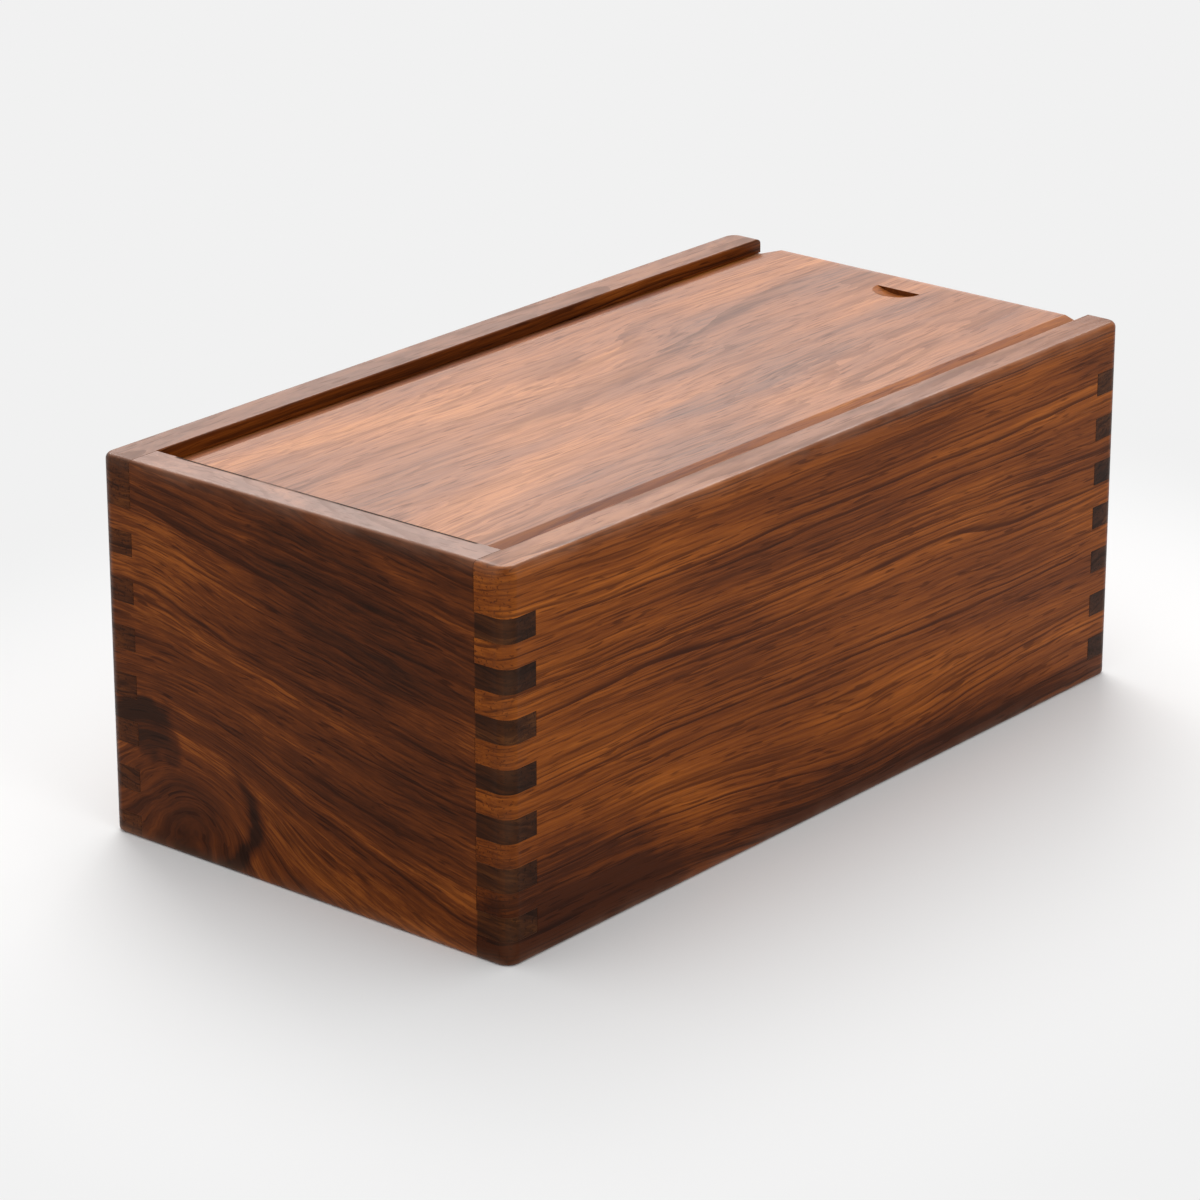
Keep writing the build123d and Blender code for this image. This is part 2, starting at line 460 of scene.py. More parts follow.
    @staticmethod
    def _edge_wear() -> bpy.types.NodeTree:
        """Rubbed wood along the edges of a block.

        Returns:
            The group.
        """
        nodes, given, out = new_group(
            "edge_wear", "ShaderNodeTree",
            {"Vector": VECTOR, "Centre": VECTOR, "Half Size": VECTOR, "Width": FLOAT}, {"Mask": FLOAT},
        )
        away = nodes.vector("ABSOLUTE", nodes.vector("SUBTRACT", given["Vector"], given["Centre"]))
        short = nodes.add("ShaderNodeSeparateXYZ", {0: nodes.vector("SUBTRACT", given["Half Size"], away)})
        near = [
            nodes.math("EXPONENT", nodes.math("DIVIDE", nodes.math("MULTIPLY", short.outputs[axis], -1.0), given["Width"]))
            for axis in range(3)
        ]
        pairs = [nodes.math("MULTIPLY", near[a], near[b]) for a, b in ((0, 1), (1, 2), (0, 2))]
        strongest = nodes.math("MAXIMUM", nodes.math("MAXIMUM", pairs[0], pairs[1]), pairs[2])
        broken = nodes.noise(nodes.vector("MULTIPLY", given["Vector"], (90.0, 90.0, 90.0)), 3.0).outputs["Fac"]
        worn = nodes.math("MULTIPLY", strongest, nodes.ease(broken, 0.25, 0.75, 0.35, 1.0))
        nodes.link(worn, out.inputs["Mask"])
        return nodes.tree


# ---------------------------------------------------------------------------------------------------
# Finishes


class Grain(Enum):
    """Which way a board's grain runs."""

    ALONG_X = Vector((1.0, 0.0, 0.0))
    ALONG_Y = Vector((0.0, 1.0, 0.0))


@dataclass(frozen=True)
class Knot:
    """A knot, a gentler swell, or a darker or lighter patch; some patches are painted shade or painted light. The sizes
    are millimetres on the box.
    """

    place: tuple[float, float, float]
    reach: tuple[float, float]
    lift: float
    calm: float = 0.0
    heart: float = 0.0
    ragged: float = 0.9
    rim: float = 0.0
    rim_side: tuple[float, float, float] = (-1.0, 0.0, 0.0)


@dataclass(frozen=True)
class Figure:
    """How strongly a board's figure shows, and how fine it is."""

    band_width: float = 8.0 * MM
    line_spacing: float = 3.7 * MM
    waviness: float = 9.0 * MM
    stroke_scale: tuple[float, float, float] = (30.0, 180.0, 1250.0)
    bands: float = 0.20
    zones: float = 0.34
    strokes: float = 0.44
    lines: float = 1.0
    pores: float = 0.70


@dataclass(frozen=True)
class WoodFinish:
    """Oiled rosewood, or another board's wood."""

    name: str
    slot: str
    grain: Grain
    stops: tuple[tuple[float, Colour], ...]
    pith: tuple[float, float, float]
    figure: Figure = Figure()
    tilt: float = 0.0
    seed: float = 0.0
    line_tone: Colour = (0.30, 0.25, 0.30)
    end_tone: Colour = (0.36, 0.42, 0.60)
    wear_tone: Colour = (0.40, 0.19, 0.10)
    wear: float = 0.30
    tips: float = 0.0
    tip_way: tuple[float, float, float] = (0.0, -1.0, 0.0)
    roughness: float = 0.38
    specular: float = 0.09
    specular_tint: Colour = (1.0, 0.62, 0.38)
    burnish: float = 0.8
    top_wax: float = 0.0
    # Painted light: up-facing faces are made lighter and paler, standing in for the stronger light and sheen that falls
    # on tops.
    top_painted_light: float = 0.0
    top_light_gain: Colour = (1.8, 2.2, 3.4)
    top_light_tone: Colour = (0.25, 0.100, 0.052)
    top_light_evenness: float = 0.55
    # Painted light: a colour gain on the lid's sloping strips, standing in for light and sheen that they catch less of.
    slope_painted_light: Colour | None = None
    slope_start: float = 56.5 * MM
    # Painted shade: the strength of a dark line along the opening's inner top edge, and how far short of the long sides
    # it stops.
    seam_shade_strength: float = 0.0
    seam_shade_short: float = 9.0 * MM
    knots: tuple[Knot, ...] = ()

    def board_matrix(self) -> Matrix:
        """The turn that brings the board's grain onto X.

        Returns:
            A 3x3 rotation.
        """
        along = self.grain.value.copy()
        if self.grain is Grain.ALONG_Y:
            along = Matrix.Rotation(math.radians(self.tilt), 3, "X") @ along
        elif self.tilt:
            along = Matrix.Rotation(math.radians(self.tilt), 3, "Y") @ along
        depth = Vector((1.0, 0.0, 0.0)) if self.grain is Grain.ALONG_Y else Vector((0.0, 1.0, 0.0))
        side = along.cross(depth).normalized()
        return Matrix((along, depth, side))

    def material(self, effects: Effects, low: Vector, high: Vector) -> bpy.types.Material:
        """Builds the material for one board.

        Args:
            effects: The shared groups.
            low: The lowest corner of the block whose edges are worn.
            high: Its highest corner.

        Returns:
            The material.
        """
        made = bpy.data.materials.new(self.name)
        made.use_nodes = True
        nodes = Nodes(made.node_tree)
        shader = made.node_tree.nodes["Principled BSDF"]
        coordinates = nodes.add("ShaderNodeTexCoord")
        place = coordinates.outputs["Object"]
        figure = self._figure(nodes, effects, place)
        ends = nodes.group(effects.end_grain, {
            "Normal": coordinates.outputs["Normal"], "Vector": place, "Grain": self.grain.value,
            "Tip Way": self.tip_way, "Tip Start": -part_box("right_side_wall")[1].y,
        })
        block_edges = {"Vector": place, "Centre": (low + high) / 2, "Half Size": (high - low) / 2, "Width": 1.5 * MM}
        worn = nodes.group(effects.edge_wear, block_edges).outputs[0]

        colour = nodes.ramp(figure.outputs["Tone"], self.stops)
        colour = nodes.mix(figure.outputs["Dark"], colour, nodes.mix(1.0, colour, self.line_tone, "MULTIPLY"))
        soaked = nodes.math("MAXIMUM", ends.outputs["Mask"], nodes.math("MULTIPLY", ends.outputs["Tips"], self.tips))
        colour = nodes.mix(soaked, colour, nodes.mix(1.0, colour, self.end_tone, "MULTIPLY"))
        facing_up = nodes.add("ShaderNodeSeparateXYZ", {0: coordinates.outputs["Normal"]}).outputs[2]
        upward = nodes.ease(facing_up, 0.6, 0.95)
        # Painted light: faces that point up are lightened and paled towards a set tone, standing in for the stronger
        # light and sheen from above.
        top_lit_colour = nodes.mix(self.top_light_evenness, nodes.mix(1.0, colour, self.top_light_gain, "MULTIPLY"), self.top_light_tone)
        colour = nodes.mix(nodes.math("MULTIPLY", upward, self.top_painted_light), colour, top_lit_colour)
        # Painted light: the lid's sloping strips are made lighter and paler, standing in for light and sheen that they
        # catch less of.
        if self.slope_painted_light:
            across = nodes.add("ShaderNodeSeparateXYZ", {0: nodes.vector("ABSOLUTE", place)}).outputs[1]
            strip = nodes.ease(across, self.slope_start - 0.3 * MM, self.slope_start)
            slope_lit_mask = nodes.math("MULTIPLY", nodes.math("MULTIPLY", nodes.ease(facing_up, 0.945, 0.975, 1.0, 0.0), strip), upward)
            colour = nodes.mix(slope_lit_mask, colour, nodes.mix(1.0, colour, self.slope_painted_light, "MULTIPLY"))
        colour = nodes.mix(nodes.math("MULTIPLY", worn, self.wear), colour, self.wear_tone)
        dull = nodes.ease(figure.outputs["Height"], -0.6, 0.5, self.roughness + 0.08, self.roughness - 0.04)
        waxed = nodes.math("MULTIPLY", upward, self.top_wax)
        waxed = nodes.math("MAXIMUM", waxed, nodes.math("MULTIPLY", worn, self.burnish))
        # Painted shade: a dark line along the near wall's inner top edge stands in for the shaded gap where the lid
        # meets it; there the coat is taken off and the roughness raised.
        if self.seam_shade_strength:
            inner = -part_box("right_side_wall")[1].y
            seam = nodes.group(effects.painted_seam_shade, {
                "Vector": place, "Centre": (0.0, 0.0, high.z), "Width": 1.5 * MM,
                "Half Size": (-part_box("near_end_wall")[1].x, inner, 0.0), "Half Line": inner - self.seam_shade_short,
            })
            seam_shade_mask = nodes.math("MULTIPLY", seam.outputs[0], self.seam_shade_strength)
            colour = nodes.mix(seam_shade_mask, colour, (0.012, 0.008, 0.006))
            dull = nodes.math("ADD", dull, nodes.math("MULTIPLY", seam_shade_mask, 0.5))
            waxed = nodes.math("MULTIPLY", waxed, nodes.math("SUBTRACT", 1.0, seam_shade_mask))
        nodes.link(colour, shader.inputs["Base Color"])
        nodes.link(dull, shader.inputs["Roughness"])
        nodes.link(waxed, shader.inputs["Coat Weight"])
        shader.inputs["Coat Roughness"].default_value = 0.28
        shader.inputs["Specular Tint"].default_value = (*self.specular_tint, 1.0)
        bump = nodes.add("ShaderNodeBump", {"Strength": 0.45, "Distance": 0.05 * MM, "Height": figure.outputs["Height"]})
        nodes.link(bump.outputs[0], shader.inputs["Normal"])
        shader.inputs["Specular IOR Level"].default_value = self.specular
        return made

    def _figure(self, nodes: Nodes, effects: Effects, place: Socket) -> bpy.types.Node:
        """Places the wood's figure, with its knots.

        Args:
            nodes: The material's nodes.
            effects: The shared groups.
            place: The place on the box.

        Returns:
            The figure's group node.
        """
        turn = self.board_matrix()
        board = nodes.add("ShaderNodeMapping", {
            "Vector": place, "Location": self.pith, "Rotation": turn.to_euler(),
        }).outputs[0]
        lift: Value = 0.0
        shade: Value = 0.0
        calm: Value = 0.0
        for knot in self.knots:
            along, side = knot.reach
            swirl = nodes.group(effects.swirl, {
                "Vector": board, "Centre": turn @ (Vector(knot.place) * MM) + Vector(self.pith),
                "Reach": (along * MM, 1.0, side * MM), "Lift": knot.lift * MM,
                "Heart": knot.heart, "Ragged": knot.ragged, "Rim": knot.rim, "Rim Side": knot.rim_side,
            })
            lift = nodes.math("ADD", lift, swirl.outputs["Lift"])
            shade = nodes.math("ADD", shade, swirl.outputs["Shade"])
            calm = nodes.math("MAXIMUM", calm, nodes.math("MULTIPLY", swirl.outputs["Calm"], knot.calm))
        f = self.figure
        return nodes.group(effects.figure, {
            "Vector": board, "Lift": lift, "Shade": shade, "Calm": calm, "Waviness": f.waviness,
            "Band Width": f.band_width, "Line Spacing": f.line_spacing, "Stroke Scale": f.stroke_scale,
            "Seed": self.seed, "Bands": f.bands, "Zones": f.zones, "Strokes": f.strokes, "Lines": f.lines,
            "Pores": f.pores,
        })


@dataclass(frozen=True)
class BaizeFinish:
    """Green woollen cloth with a short nap."""

    name: str = "green_baize"
    slot: str = "baize"
    deep: Colour = (0.008, 0.050, 0.022)
    bright: Colour = (0.022, 0.120, 0.052)
    weave: float = 900.0

    def material(self) -> bpy.types.Material:
        """Builds the cloth's material.

        Returns:
            The material.
        """
        made = bpy.data.materials.new(self.name)
        made.use_nodes = True
        nodes = Nodes(made.node_tree)
        shader = made.node_tree.nodes["Principled BSDF"]
        place = nodes.add("ShaderNodeTexCoord").outputs["Object"]
        fuzz = nodes.noise(nodes.vector("MULTIPLY", place, (self.weave,) * 3), 3.0, 0.7).outputs["Fac"]
        patches = nodes.noise(nodes.vector("MULTIPLY", place, (45.0, 45.0, 45.0)), 3.0).outputs["Fac"]
        blend = nodes.ease(nodes.math("ADD", fuzz, nodes.math("MULTIPLY", patches, 0.5)), 0.45, 1.05)
        nodes.link(nodes.mix(blend, self.deep, self.bright), shader.inputs["Base Color"])
        bump = nodes.add("ShaderNodeBump", {"Strength": 0.8, "Distance": 0.25 * MM, "Height": fuzz})
        nodes.link(bump.outputs[0], shader.inputs["Normal"])
        shader.inputs["Roughness"].default_value = 0.95
        shader.inputs["Sheen Weight"].default_value = 0.35
        shader.inputs["Sheen Roughness"].default_value = 0.5
        return made


RIGHT_SIDE = WoodFinish(
    name="rosewood_right_side", slot="rosewood_sides", grain=Grain.ALONG_X, pith=(0.0, 0.055, -0.19), tilt=0.8,
    stops=((0.0, (0.048, 0.0100, 0.0018)), (0.35, (0.138, 0.0310, 0.0034)), (0.65, (0.225, 0.0560, 0.0054)),
           (1.0, (0.370, 0.1050, 0.0110))),
    figure=Figure(strokes=0.37),
    seed=3.0, end_tone=(0.85, 0.80, 0.74), top_painted_light=0.75, top_wax=0.08,
    knots=(
        Knot((10.0, -77.5, 14.0), (70.0, 26.0), 9.0),
        # Painted shade: darker along the bottom edge of the right face.
        Knot((0.0, -77.5, -14.0), (600.0, 42.0), 0.0, heart=0.50, ragged=0.12),
        # Painted shade: darker low down beside the near corner.
        Knot((-118.0, -77.5, 8.0), (62.0, 36.0), 0.0, heart=0.42, ragged=0.3),
    ),
)
# Its stops are darker than the right side's: partly a darker board, partly painted shade for the left rail's inner
# face.
LEFT_SIDE = WoodFinish(
    name="rosewood_left_side", slot="rosewood_sides", grain=Grain.ALONG_X, pith=(0.3, -0.07, -0.16), tilt=-1.0,
    stops=((0.0, (0.034, 0.0080, 0.0022)), (0.35, (0.088, 0.0205, 0.0036)), (0.65, (0.150, 0.0370, 0.0052)),
           (1.0, (0.270, 0.0760, 0.0100))),
    seed=11.0, end_tone=(0.50, 0.50, 0.62), top_painted_light=0.75, top_wax=0.08,
)
NEAR_END = WoodFinish(
    name="rosewood_near_end", slot="rosewood_ends", grain=Grain.ALONG_Y, pith=(0.0, 0.11, 0.26), tilt=7.0,
    stops=((0.0, (0.022, 0.0058, 0.0022)), (0.35, (0.066, 0.0145, 0.0030)), (0.65, (0.122, 0.0280, 0.0045)),
           (1.0, (0.290, 0.0780, 0.0110))),
    figure=Figure(band_width=12.0 * MM, line_spacing=5.6 * MM, waviness=20.0 * MM, stroke_scale=(70.0, 180.0, 950.0),
                  bands=0.34, zones=0.42, strokes=0.36, lines=0.80),
    seed=5.0, end_tone=(0.31, 0.38, 0.60), tips=0.85, top_painted_light=1.0, top_wax=0.20, seam_shade_strength=0.95,
    knots=(
        Knot((-147.5, 46.0, 20.0), (64.0, 48.0), 22.0, calm=0.2),
        Knot((-147.5, 41.0, 18.0), (24.0, 20.0), 16.0, calm=1.0, heart=0.10, rim=0.75, rim_side=(-0.85, 0.0, 0.4)),
        Knot((-147.5, 62.0, 37.0), (19.0, 13.0), 9.0, calm=0.6, heart=0.62),
        Knot((-147.5, -30.0, 90.0), (75.0, 34.0), 0.0, heart=0.24, ragged=0.4),
        Knot((-147.5, 60.0, 88.0), (26.0, 20.0), 5.0, heart=-0.10, ragged=0.6),
    ),
)
FAR_END = WoodFinish(
    name="rosewood_far_end", slot="rosewood_ends", grain=Grain.ALONG_Y, pith=(0.4, -0.10, 0.24), tilt=-6.0,
    stops=NEAR_END.stops, figure=NEAR_END.figure, seed=17.0, tips=0.75, top_painted_light=0.6,
)
LID_WOOD = WoodFinish(
    name="rosewood_lid", slot="rosewood_lid", grain=Grain.ALONG_X, pith=(0.1, 0.02, -0.30),
    stops=((0.0, (0.135, 0.052, 0.032)), (0.35, (0.250, 0.079, 0.027)), (0.65, (0.350, 0.109, 0.026)),
           (1.0, (0.520, 0.178, 0.036))),
    figure=Figure(band_width=7.0 * MM, line_spacing=5.0 * MM, waviness=15.0 * MM, stroke_scale=(26.0, 900.0, 900.0),
                  bands=0.30, zones=0.46, strokes=0.34, lines=0.45, pores=0.45),
    seed=23.0, end_tone=(0.38, 0.34, 0.34), wear_tone=(0.52, 0.26, 0.13), top_wax=0.10, slope_painted_light=(1.18, 1.35, 2.0),
    # Painted light: the lid is a little paler towards its near end, standing in for sheen.
    knots=(Knot((-125.0, 0.0, 115.8), (80.0, 500.0), 0.0, heart=-0.06, ragged=0.3),),
)
DIVIDER_WOOD = WoodFinish(
    name="rosewood_divider", slot="rosewood_divider", grain=Grain.ALONG_Y, pith=(0.2, 0.06, -0.2),
    stops=RIGHT_SIDE.stops, seed=31.0, wear=0.5,
)
FLOOR_WOOD = WoodFinish(
    name="pale_floor_board", slot="floor_board", grain=Grain.ALONG_X, pith=(0.0, 0.09, -0.24),
    stops=((0.0, (0.22, 0.125, 0.065)), (0.5, (0.34, 0.21, 0.115)), (1.0, (0.46, 0.30, 0.17))),
    figure=Figure(bands=0.35, zones=0.25, strokes=0.35, lines=0.25, pores=0.2), line_tone=(0.6, 0.52, 0.45),
    seed=41.0, end_tone=(0.65, 0.62, 0.6), wear_tone=(0.5, 0.36, 0.22), roughness=0.62,
)


# ---------------------------------------------------------------------------------------------------
# Mesh code


def object_from(name: str, bm: bmesh.types.BMesh) -> bpy.types.Object:
    """Makes a scene object of a bmesh, with its faces turned outwards.

    Args:
        name: The object's name.
        bm: The closed shape, which is freed.

    Returns:
        The object, at the origin.
    """
    bmesh.ops.recalc_face_normals(bm, faces=bm.faces)
    mesh = bpy.data.meshes.new(name)
    bm.to_mesh(mesh)
    bm.free()
    made = bpy.data.objects.new(name, mesh)
    bpy.context.scene.collection.objects.link(made)
    return made


def plain(obj: bpy.types.Object) -> bpy.types.Object:
    """Turns an object's modifiers into its own mesh.

    Args:
        obj: The object.

    Returns:
        The same object, with no modifiers.
    """
    graph = bpy.context.evaluated_depsgraph_get()
    mesh = bpy.data.meshes.new_from_object(obj.evaluated_get(graph), preserve_all_data_layers=True, depsgraph=graph)
    obj.modifiers.clear()
    old, obj.data = obj.data, mesh
    bpy.data.meshes.remove(old)
    mesh.name = obj.name
    return obj


def block(x_span: Span, y_span: Span, z_span: Span) -> bmesh.types.BMesh:
    """A rectangular block between two places along each axis.

    Args:
        x_span: Its ends along X.
        y_span: Its ends along Y.
        z_span: Its ends along Z.

    Returns:
        The closed block.
    """
    bm = bmesh.new()
    spans = (x_span, y_span, z_span)
    size = [high - low for low, high in spans]
    centre = Vector([(low + high) / 2 for low, high in spans])
    bmesh.ops.create_cube(bm, size=1.0, matrix=Matrix.Translation(centre) @ Matrix.Diagonal((*size, 1.0)))
    return bm


def both_ways(half: float) -> Span:
    """A span centred on the origin."""
    return (-half, half)


def loft(levels: list[list[Vector]]) -> bmesh.types.BMesh:
    """A closed shape through outlines of the same number of points, flat at both ends.

    Args:
        levels: The outlines, in order.

    Returns:
        The shape.
    """
    bm = bmesh.new()
    rings = [[bm.verts.new(point) for point in level] for level in levels]
    count = len(levels[0])
    for lower, upper in zip(rings, rings[1:]):
        for here in range(count):
            after = (here + 1) % count
            bm.faces.new((lower[here], lower[after], upper[after], upper[here]))
    bm.faces.new(rings[0][::-1])
    bm.faces.new(rings[-1])
    return bm


def cut(obj: bpy.types.Object, cutters: list[bmesh.types.BMesh], operation: str = "DIFFERENCE") -> bpy.types.Object:
    """Cuts shapes out of an object, or joins them to it.

    Args:
        obj: The object.
        cutters: The shapes, which are freed.
        operation: DIFFERENCE or UNION.

    Returns:
        The same object.
    """
    tools = [object_from(f"{obj.name}_cutter", cutter) for cutter in cutters]
    for tool in tools:
        modifier = obj.modifiers.new("cut", "BOOLEAN")
        modifier.operation = operation
        modifier.solver = "EXACT"
        modifier.object = tool
    plain(obj)
    for tool in tools:
        bpy.data.objects.remove(tool)
    return obj


def ease_edges(
    obj: bpy.types.Object, width: float, segments: int = 2, around: tuple[Vector, float] | None = None,
) -> bpy.types.Object:
    """Rounds an object's sharp edges slightly.

    Flat faces are merged first, because a rounding that is wider than a strip beside it would fold over.

    Args:
        obj: The object.
        width: The width of the rounding.
        segments: How many strips it has.
        around: A place and a reach, where only the edges near that place are rounded.

    Returns:
        The same object.
    """
    bm = bmesh.new()
    bm.from_mesh(obj.data)
    bmesh.ops.dissolve_limit(bm, angle_limit=FLAT_ANGLE, verts=bm.verts[:], edges=bm.edges[:])
    layers = bm.edges.layers.float
    weights = layers.get("bevel_weight_edge") or layers.new("bevel_weight_edge")
    for edge in bm.edges:
        near = around is None or all((vert.co - around[0]).length < around[1] for vert in edge.verts)
        edge[weights] = float(near and edge.calc_face_angle(0.0) > SHARP_ANGLE)
    bm.to_mesh(obj.data)
    bm.free()
    bevel = obj.modifiers.new("eased", "BEVEL")
    bevel.width = width
    bevel.segments = segments
    bevel.limit_method = "WEIGHT"
    bevel.use_clamp_overlap = False
    return plain(obj)


def shade_smooth(obj: bpy.types.Object) -> bpy.types.Object:
    """Shades an object smooth, with its large faces flat.

    Args:
        obj: The object.

    Returns:
        The same object.
    """
    obj.data.polygons.foreach_set("use_smooth", [True] * len(obj.data.polygons))
    weighted = obj.modifiers.new("flat_faces", "WEIGHTED_NORMAL")
    weighted.weight = 100
    weighted.keep_sharp = True
    return plain(obj)


def finish_piece(obj: bpy.types.Object, made_of: bpy.types.Material, slot: str, body: str, *nodes: str) -> bpy.types.Object:
    """Gives a piece its material and its place in the frame, and reports it.

    Args:
        obj: The piece.
        made_of: Its material.
        slot: Not used.
        body: The body that it rides on.
        nodes: The nodes that it replaces.

    Returns:
        The same object.
    """
    obj.data.materials.clear()
    obj.data.materials.append(made_of)
    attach(obj, body)
    if nodes:
        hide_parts(*nodes)
    log.info("%s: %d faces on %s", obj.name, len(obj.data.polygons), body)
    return obj


def run_tree(obj: bpy.types.Object, tree: bpy.types.NodeTree, inputs: dict[str, Value]) -> bpy.types.Object:
    """Runs a geometry tree on an object and keeps the result as a plain mesh.

    Args:
        obj: The object.
        tree: The geometry tree.
        inputs: Its inputs by name.

    Returns:
        The same object.
    """
    modifier = obj.modifiers.new(tree.name, "NODES")
    modifier.node_group = tree
    for item in tree.interface.items_tree:
        if item.in_out == "INPUT" and item.name in inputs:
            modifier[item.identifier] = inputs[item.name]
    return plain(obj)


# ---------------------------------------------------------------------------------------------------
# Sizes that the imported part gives


@dataclass(frozen=True)
class BoxSizes:
    """The box's sizes in metres. The frame gives the outer ones."""

    half_length: float
    half_width: float
    height: float
    side_thickness: float
    end_thickness: float
    lid_bottom: float
    groove_floor: float
    lid_top: float
    floor_thickness: float
    corner_radius: float = 4.5 * MM
    top_radius: float = 1.8 * MM
    bottom_radius: float = 1.2 * MM
    arris: float = 0.4 * MM
    tongue: float = 6.0 * MM
    groove_depth: float = 6.0 * MM
    running_clearance: float = 0.3 * MM
    floor_recess: float = 6.0 * MM
    slot_depth: float = 3.0 * MM
    wood_below_groove: float = 3.45 * MM
    finger_count: int = 14
    overrun: float = 10.0 * MM

    @classmethod
    def from_frame(cls) -> "BoxSizes":
        """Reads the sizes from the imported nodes.

        Returns:
            The sizes.
        """
        low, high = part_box("right_side_wall")
        near_low, near_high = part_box("near_end_wall")
        lid_low, lid_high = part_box("lid")
        return cls(
            half_length=high.x, half_width=-low.y, height=high.z, side_thickness=high.y - low.y,
            end_thickness=near_high.x - near_low.x, lid_bottom=lid_low.z, lid_top=lid_high.z,
            groove_floor=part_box("far_end_wall")[1].z, floor_thickness=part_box("bottom_panel")[1].z,
        )

    @property
    def inner_half_length(self) -> float:
        """Half the inside length."""
        return self.half_length - self.end_thickness

    @property
    def inner_half_width(self) -> float:
        """Half the inside width."""
        return self.half_width - self.side_thickness

    @property
    def fingers_top(self) -> float:
        """The top of the highest finger of the end walls."""
        return self.groove_floor - self.wood_below_groove

    @property
    def pitch(self) -> float:
        """The height of one finger."""
        return self.fingers_top / self.finger_count


# ---------------------------------------------------------------------------------------------------
# The case's walls


class Wall(Enum):
    """The four walls, each with the direction along it and the one out of the box."""

    RIGHT = ("right_side_wall", Vector((1, 0, 0)), Vector((0, -1, 0)))
    LEFT = ("left_side_wall", Vector((-1, 0, 0)), Vector((0, 1, 0)))
    NEAR = ("near_end_wall", Vector((0, -1, 0)), Vector((-1, 0, 0)))
    FAR = ("far_end_wall", Vector((0, 1, 0)), Vector((1, 0, 0)))

    @property
    def node(self) -> str:
        """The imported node."""
        return self.value[0]

    @property
    def is_side(self) -> bool:
        """Whether it is a long wall."""
        return self in (Wall.RIGHT, Wall.LEFT)

    @property
    def turn(self) -> Matrix:
        """The turn from the wall's own axes (along, outwards, up) to the box's."""
        along, outwards = self.value[1], self.value[2]
        return Matrix((along, outwards, Vector((0, 0, 1)))).transposed().to_4x4()


